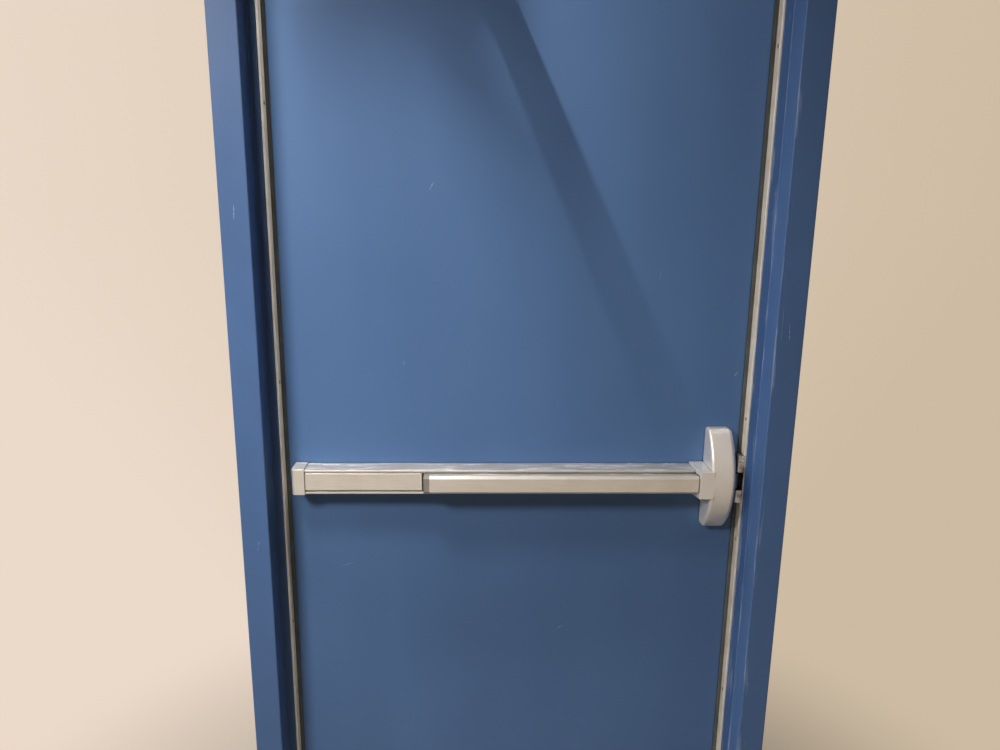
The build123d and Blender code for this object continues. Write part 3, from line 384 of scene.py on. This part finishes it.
def sprayedMetal(name, spec):
    # aluminium enamel sprayed on a casting: fine flake, faint orange peel, rubbed to a soft shine
    material, tree, shader, place = newMaterial(name, metallic=spec["metallic"])
    cloud = addNode(tree, "ShaderNodeTexNoise", {"Vector": place, "Scale": 1000 / spec["cloud"],
                                                 "Detail": 4.0, "Roughness": 0.6})
    tone = addNode(tree, "ShaderNodeValToRGB", {"Fac": cloud.outputs["Fac"]},
                   stops=[(0.3, linear(spec["dark"])), (0.7, linear(spec["light"]))])
    # flake of 0.8 mm, the real 0.05 mm being too fine to show
    flake = addNode(tree, "ShaderNodeTexNoise", {"Vector": place, "Scale": 1000 / 0.8, "Detail": 1.0})
    glint = addNode(tree, "ShaderNodeMapRange", {"Value": flake.outputs["Fac"], "From Min": 0.35,
                                                 "From Max": 0.65, "To Min": 0.94, "To Max": 1.06})
    mixed = addNode(tree, "ShaderNodeVectorMath",
                    {0: tone.outputs["Color"], "Scale": glint.outputs["Result"]}, operation="SCALE")
    gloss = addNode(tree, "ShaderNodeMapRange", {"Value": cloud.outputs["Fac"], "From Min": 0.3,
                                                 "From Max": 0.7, "To Min": spec["rough"][0],
                                                 "To Max": spec["rough"][1]})
    # the coat is rubbed through along its edges, in patches of about 12 mm, which also paints a highlight
    # along them
    rounded, edge = edgeMask(tree, spec["edge"])
    patches = addNode(tree, "ShaderNodeTexNoise", {"Vector": place, "Scale": 1000 / 12, "Detail": 4.0})
    through = addNode(tree, "ShaderNodeMapRange", {"Value": patches.outputs["Fac"], "From Min": 0.35,
                                                   "From Max": 0.6, "To Max": spec["edgeRubAndHighlight"]})
    edgeWearAndHighlight = addNode(tree, "ShaderNodeMath", {0: edge, 1: through.outputs["Result"]}, operation="MULTIPLY")
    layer = addNode(tree, "ShaderNodeMix", {0: edgeWearAndHighlight.outputs[0], 6: mixed.outputs["Vector"],
                                            7: linear(spec["worn"])}, data_type="RGBA")
    # painted shade: the colour is darkened towards black in joints and gaps
    shadedInGaps = addNode(tree, "ShaderNodeVectorMath",
                     {0: layer.outputs[2], "Scale": jointShade(tree, spec["reach"])}, operation="SCALE")
    peel = addNode(tree, "ShaderNodeTexNoise", {"Vector": place, "Scale": 1000 / 3, "Detail": 2.0})
    bump = addNode(tree, "ShaderNodeBump", {"Height": peel.outputs["Fac"], "Strength": 0.1,
                                            "Distance": 0.4 * mm, "Normal": rounded})
    tree.links.new(shadedInGaps.outputs["Vector"], shader.inputs["Base Color"])
    tree.links.new(gloss.outputs["Result"], shader.inputs["Roughness"])
    tree.links.new(bump.outputs["Normal"], shader.inputs["Normal"])
    return material


# cast head of the exit device, pale and polished by hands on its edges, with a painted highlight along them
headPaint = sprayedMetal("aluminium enamel on the cast head", {
    "metallic": 0.35, "cloud": 40, "dark": "#edeae6", "light": "#f2efec", "rough": (0.28, 0.4),
    "edge": 1.2, "reach": 6, "edgeRubAndHighlight": 0.8, "worn": "#f2f0ec"})
# closer's casting, cover and arms, darker and duller
closerPaint = sprayedMetal("aluminium enamel on the closer", {
    "metallic": 0.4, "cloud": 70, "dark": "#b0aca4", "light": "#bfbbb3", "rough": (0.36, 0.48),
    "edge": 1.2, "reach": 6, "edgeRubAndHighlight": 0.5, "worn": "#dedbd5"})


def moulded(name, spec):
    # moulded polymer or rubber: even colour with faint flow marks and a spark-eroded grain of 0.6 mm
    material, tree, shader, place = newMaterial(name, roughness=spec["rough"])
    flow = addNode(tree, "ShaderNodeTexNoise", {"Vector": place, "Scale": 1000 / 25, "Detail": 3.0})
    tone = addNode(tree, "ShaderNodeValToRGB", {"Fac": flow.outputs["Fac"]},
                   stops=[(0.3, linear(spec["dark"])), (0.7, linear(spec["light"]))])
    grain = addNode(tree, "ShaderNodeTexNoise", {"Vector": place, "Scale": 1000 / 0.6, "Detail": 1.0})
    bump = addNode(tree, "ShaderNodeBump", {"Height": grain.outputs["Fac"], "Strength": 0.15,
                                            "Distance": 0.2 * mm})
    tree.links.new(tone.outputs["Color"], shader.inputs["Base Color"])
    tree.links.new(bump.outputs["Normal"], shader.inputs["Normal"])
    return material


# insert of the seal and the silencers
sealRubber = moulded("silicone seal, grey", {"dark": "#4c4d49", "light": "#5c5d57", "rough": 0.6})
# moulded end of the push pad
endPlastic = moulded("moulded nylon end", {"dark": "#8f8a84", "light": "#9b958e", "rough": 0.55})

finishes = {"frame_paint": framePaint, "door_paint": doorPaint, "bare_steel": bareSteel,
            "hinge_steel": hingeSteel, "seal_aluminium": sealMetal, "seal_rubber": sealRubber,
            "bar_aluminium": barMetal, "head_casting": headPaint, "end_plastic": endPlastic,
            "strike_steel": strikeMetal, "closer_paint": closerPaint}
for part in frame["record"]["subparts"]:
    mesh = nodes[part["node"]].data
    mesh.materials.clear()
    mesh.materials.append(finishes[part["material_slot"]])


def capped(stack):
    # closed skin of a stack of rings (rings, points, 3): a pole, the rings, a pole
    rings, count = stack.shape[:2]
    verts = np.vstack([stack[0].mean(0), stack.reshape(-1, 3), stack[-1].mean(0)])
    i = np.arange(count)
    j = (i + 1) % count
    faces = [[0, 1 + b, 1 + a] for a, b in zip(i, j)]
    for k in range(rings - 1):
        low, high = 1 + k * count, 1 + (k + 1) * count
        faces += np.stack([low + i, low + j, high + j, high + i], 1).tolist()
    last = 1 + (rings - 1) * count
    faces += [[len(verts) - 1, last + a, last + b] for a, b in zip(i, j)]
    return verts, faces


def recess(spec, along, across):
    # depth from 0 to 1: ((slot - |across|) / slot + 0.5) ((reach - |along|) / slot + 0.5), each clipped
    narrow = np.clip((spec["slot"] - abs(across)) / spec["slot"] + 0.5, 0, 1)
    short = np.clip((spec["reach"] - abs(along)) / spec["slot"] + 0.5, 0, 1)
    return narrow * short


headSides = 40  # points around a fastener's head and shank


def fastener(spec):
    # height = rim + crown (1 - (r / R)^2) less the recess; then the rim, the cone or step, and the shank
    turns = np.linspace(0, 2 * np.pi, headSides, endpoint=False)
    radii = spec["radius"] * np.array([0.06, 0.14, 0.24, 0.34, 0.42, 0.5, 0.58, 0.68, 0.8, 0.92, 0.98])
    r, a = np.meshgrid(radii, turns, indexing="ij")
    x, y = r * np.cos(a), r * np.sin(a)
    groove = recess(spec, x, y)
    if spec["cross"]:
        groove = np.maximum(groove, recess(spec, y, x))
    z = spec["rim"] + spec["crown"] * (1 - (r / spec["radius"]) ** 2) - spec["deep"] * groove
    below = np.array([(spec["radius"], spec["rim"] * 0.8), (spec["radius"], 0.0)] + spec["stem"])
    rings = np.stack([below[:, :1] * np.cos(turns), below[:, :1] * np.sin(turns),
                      np.repeat(below[:, 1:], len(turns), 1)], 2)
    return capped(np.concatenate([np.stack([x, y, z], 2), rings])[::-1])


def setFasteners(name, spec, places, facing, body, slotName, seed):
    # every copy is turned about its own axis by its own angle, then its z axis is laid along facing
    verts, faces = fastener(spec)
    spin = np.random.default_rng(seed).uniform(0, 2 * np.pi, len(places))
    axis = np.array(facing, float)
    side = np.array((0.0, 0.0, 1.0)) if abs(axis[2]) < 0.5 else np.array((1.0, 0.0, 0.0))
    other = np.cross(axis, side)
    c, s = np.cos(spin)[:, None, None], np.sin(spin)[:, None, None]
    u, v, w = verts[None, :, :1], verts[None, :, 1:2], verts[None, :, 2:]
    turned = (u * c - v * s) * side + (u * s + v * c) * other + w * axis
    allVerts = (turned + np.array(places, float)[:, None, :]).reshape(-1, 3) * mm
    allFaces = [[i + k * len(verts) for i in face] for k in range(len(places)) for face in faces]
    return addPiece(name, allVerts, allFaces, screwMetal, body)


# all in mm; stem is the profile under the head as (radius, height)
flatScrew = {"radius": 4.7, "rim": 0.05, "crown": 0.15, "cross": True, "slot": 0.75, "reach": 2.9,
             "deep": 1.6, "stem": [(2.3, -2.4), (2.3, -7.0)]}
strikeScrew = dict(flatScrew, radius=4.2, stem=[(2.2, -2.2), (2.2, -6.0)])
shoeScrew = dict(flatScrew, radius=4.6)
panScrew = {"radius": 3.6, "rim": 0.5, "crown": 1.3, "cross": True, "slot": 0.6, "reach": 2.1,
            "deep": 1.1, "stem": [(1.9, -0.2), (1.9, -3.0)]}
headScrew = dict(panScrew, radius=3.2)
throughBolt = {"radius": 9.0, "rim": 0.9, "crown": 1.4, "cross": False, "slot": 0.9, "reach": 7.2,
               "deep": 1.0, "stem": [(4.6, -0.2), (4.6, -1.0)]}

# faces that the heads sit on: x of the frame's and the door's leaves, x and z of the seal, y of the pull side
frameEdge, doorEdge, sealFace, sealTop, pullFace = -457.2, -454.0, 437.7, 2114.1, 57.175
leafRows = [(y, z + rise) for z in (311.15, 1130.3, 1949.45)
            for y, rise in ((29.075, -42), (43.075, -16), (29.075, 16), (43.075, 42))]
fastenerSets = [
    ("hinge_screws_frame", flatScrew, [(frameEdge, y, z) for y, z in leafRows], (1, 0, 0),
     "frame", "hinge_steel"),
    ("hinge_screws_door", flatScrew, [(doorEdge, y, z) for y, z in leafRows], (-1, 0, 0),
     "door", "hinge_steel"),
    ("seal_screws_left", panScrew, [(-sealFace, -2.5, z) for z in (205, 716, 1204, 1693, 2060)], (1, 0, 0),
     "frame", "seal_aluminium"),
    ("seal_screws_right", panScrew, [(sealFace, -2.5, z) for z in (210, 554, 891, 1136, 1797, 2060)],
     (-1, 0, 0), "frame", "seal_aluminium"),
    ("seal_screws_head", panScrew, [(x, -2.5, sealTop) for x in (-330, -110, 110, 330)], (0, 0, -1),
     "frame", "seal_aluminium"),
    ("strike_screws", strikeScrew, [(426.5, 0.5, z) for z in (980.5, 1048.5)], (-1, 0, 0),
     "frame", "strike_steel"),
    ("device_through_bolts", throughBolt,
     [(x, pullFace, z) for x in (377, 403) for z in (955, 1093)]
     + [(-401, pullFace, z) for z in (1006.5, 1030.5)], (0, 1, 0), "door", "bar_aluminium"),
    ("closer_through_bolts", throughBolt,
     [(x, pullFace, z) for x in (-285, -43) for z in (2020, 2051)], (0, 1, 0), "door", "closer_paint"),
    ("shoe_screws", shoeScrew, [(x, -35.5, 2112.7) for x in (-322, -258)], (0, 0, -1),
     "frame", "closer_paint"),
    ("head_screws", headScrew, [(390, 4.5, 918.5)], (0, 0, -1), "door", "head_casting")]
for seed, row in enumerate(fastenerSets, 5):
    setFasteners(*row, seed)
print("fasteners set")


warmWhite = (1.0, 0.97, 0.93)
# places and sizes are in metres, powers in watts, spreads in degrees
lamps = {
    "soft key": {"place": (-1.15, -1.3, 2.2), "aim": (-0.05, 0, 0.35), "size": (0.35, 0.3), "power": 7.6,
                 "spread": 90, "colour": warmWhite},
    "soft steep": {"place": (-0.7, -0.75, 2.75), "aim": (-0.2, 0, 0.45), "size": (0.35, 0.3), "power": 2.3,
                   "spread": 60, "colour": warmWhite},
    "soft fill": {"place": (-1.3, -3.0, 1.9), "aim": (0, 0, 1.0), "size": (2.6, 2.0), "power": 1.0,
                  "spread": 180, "colour": (1.0, 0.98, 0.96)},
    "soft back": {"place": (-0.8, 3.2, 2.8), "aim": (0, 0, 1.1), "size": (2.0, 1.6), "power": 60,
                  "spread": 180, "colour": (1.0, 0.98, 0.95)},
    # it grazes the door to throw the closer's long shadow, and would burn out the bar's top if it reached it
    "ceiling tube": {"place": (-0.132, -0.259, 3.152), "aim": (-0.14, 0.01, 1.3),
                     "along": (0.885, -0.466, 0.0), "size": (0.7, 0.01), "power": 7.6, "spread": 60,
                     "colour": warmWhite,
                     "lights": ["door_push_sheet", "strike_jamb", "frame_head", "seal_left",
                                "seal_right_upper", "seal_right_lower"],
                     "shades": ["closer_body", "closer_cover", "closer_main_arm", "closer_forearm",
                                "closer_shoe", "device_rail", "touchpad", "touchpad_end",
                                "device_filler", "device_end_cap", "device_head"]}}


def setLamp(name, spec):
    # a rectangle lamp: its local x lies along "along", or else along x, and it shines down its local -z
    data = bpy.data.lights.new(name, "AREA")
    data.shape = "RECTANGLE"
    data.size, data.size_y = spec["size"]
    data.energy, data.color, data.spread = spec["power"], spec["colour"], radians(spec["spread"])
    lamp = bpy.data.objects.new(name, data)
    back = (Vector(spec["place"]) - Vector(spec["aim"])).normalized()
    along = Vector(spec.get("along", (1, 0, 0)))
    across = (along - along.dot(back) * back).normalized()
    turn = Matrix((across, back.cross(across), back)).transposed().to_4x4()
    lamp.matrix_world = Matrix.Translation(spec["place"]) @ turn
    bpy.context.scene.collection.objects.link(lamp)
    if "lights" in spec:
        links = lamp.light_linking
        links.receiver_collection = bpy.data.collections.new("lit by " + name)
        links.blocker_collection = bpy.data.collections.new("shading " + name)
        for group, members in ((links.receiver_collection, spec["lights"]),
                               (links.blocker_collection, spec["shades"])):
            for member in members:
                group.objects.link(nodes[member])


for lampName, lampSpec in lamps.items():
    setLamp(lampName, lampSpec)

# the air takes the left colour towards -x and the right colour towards +x, a painted fall of light; fade and
# span are in metres
backdrop = {"left": "#ebd9c9", "right": "#cdbba3", "floor": "#d9cdbc", "fade": (0.45, 1.5), "lean": 0.6,
            "ambient": 0.01, "span": 80}


def rayMask(tree, kinds):
    # 1 for a ray of any of the kinds
    path = addNode(tree, "ShaderNodeLightPath")
    mask = path.outputs[kinds[0]]
    for kind in kinds[1:]:
        mask = addNode(tree, "ShaderNodeMath", {0: mask, 1: path.outputs[kind]},
                       operation="MAXIMUM").outputs[0]
    return mask


def airColour(tree, lean, spec):
    # left colour to right colour as the sideways lean goes from one limit to the other: painted light,
    # brighter on the left
    wide = addNode(tree, "ShaderNodeMapRange", {"Value": lean, "From Min": -spec["lean"],
                                                "From Max": spec["lean"]})
    return addNode(tree, "ShaderNodeValToRGB", {"Fac": wide.outputs["Result"]},
                   stops=[(0.0, linear(spec["left"])), (1.0, linear(spec["right"]))]).outputs["Color"]


def setWorld(spec):
    # rays that the camera sees meet the backdrop, all others a faint even light
    world = bpy.data.worlds.new("studio")
    bpy.context.scene.world = world
    world.use_nodes = True
    air = world.node_tree
    shown = rayMask(air, ("Is Camera Ray", "Is Glossy Ray", "Is Transmission Ray"))
    heading = addNode(air, "ShaderNodeSeparateXYZ",
                      {0: addNode(air, "ShaderNodeTexCoord").outputs["Generated"]})
    wash = airColour(air, heading.outputs["X"], spec)
    ambient = addNode(air, "ShaderNodeBackground", {"Color": (*warmWhite, 1.0),
                                                    "Strength": spec["ambient"]})
    paper = addNode(air, "ShaderNodeBackground", {"Color": wash, "Strength": 1.0})
    both = addNode(air, "ShaderNodeMixShader", {0: shown, 1: ambient.outputs[0], 2: paper.outputs[0]})
    air.links.new(both.outputs[0], air.nodes["World Output"].inputs["Surface"])


def addFloor(spec):
    # a flat square far wider than the view; away from the object it turns to the colour of the air behind it
    mesh = bpy.data.meshes.new("floor")
    span = spec["span"]
    mesh.from_pydata([(-span, -span, 0), (span, -span, 0), (span, span, 0), (-span, span, 0)], [],
                     [(0, 1, 2, 3)])
    floor = bpy.data.objects.new("floor", mesh)
    bpy.context.scene.collection.objects.link(floor)
    material, tree, shader, place = newMaterial("pale floor", roughness=0.8)
    shader.inputs["Base Color"].default_value = linear(spec["floor"])
    reach = addNode(tree, "ShaderNodeVectorMath", {0: place}, operation="LENGTH")
    fade = addNode(tree, "ShaderNodeMapRange", {"Value": reach.outputs["Value"],
                                                "From Min": spec["fade"][0], "From Max": spec["fade"][1]},
                   interpolation_type="SMOOTHSTEP")
    direct = rayMask(tree, ("Is Camera Ray", "Is Glossy Ray"))
    amount = addNode(tree, "ShaderNodeMath", {0: fade.outputs["Result"], 1: direct}, operation="MULTIPLY")
    across = addNode(tree, "ShaderNodeSeparateXYZ", {0: place})
    lean = addNode(tree, "ShaderNodeMath", {0: across.outputs["X"], 1: reach.outputs["Value"]},
                   operation="DIVIDE")
    glow = airColour(tree, lean.outputs[0], spec)
    paper = addNode(tree, "ShaderNodeEmission", {"Color": glow, "Strength": 1.0})
    mixed = addNode(tree, "ShaderNodeMixShader", {0: amount.outputs[0], 1: shader.outputs[0],
                                                  2: paper.outputs[0]})
    tree.links.new(mixed.outputs[0], tree.nodes["Material Output"].inputs["Surface"])
    mesh.materials.append(material)


setWorld(backdrop)
addFloor(backdrop)
print("floor and light set")
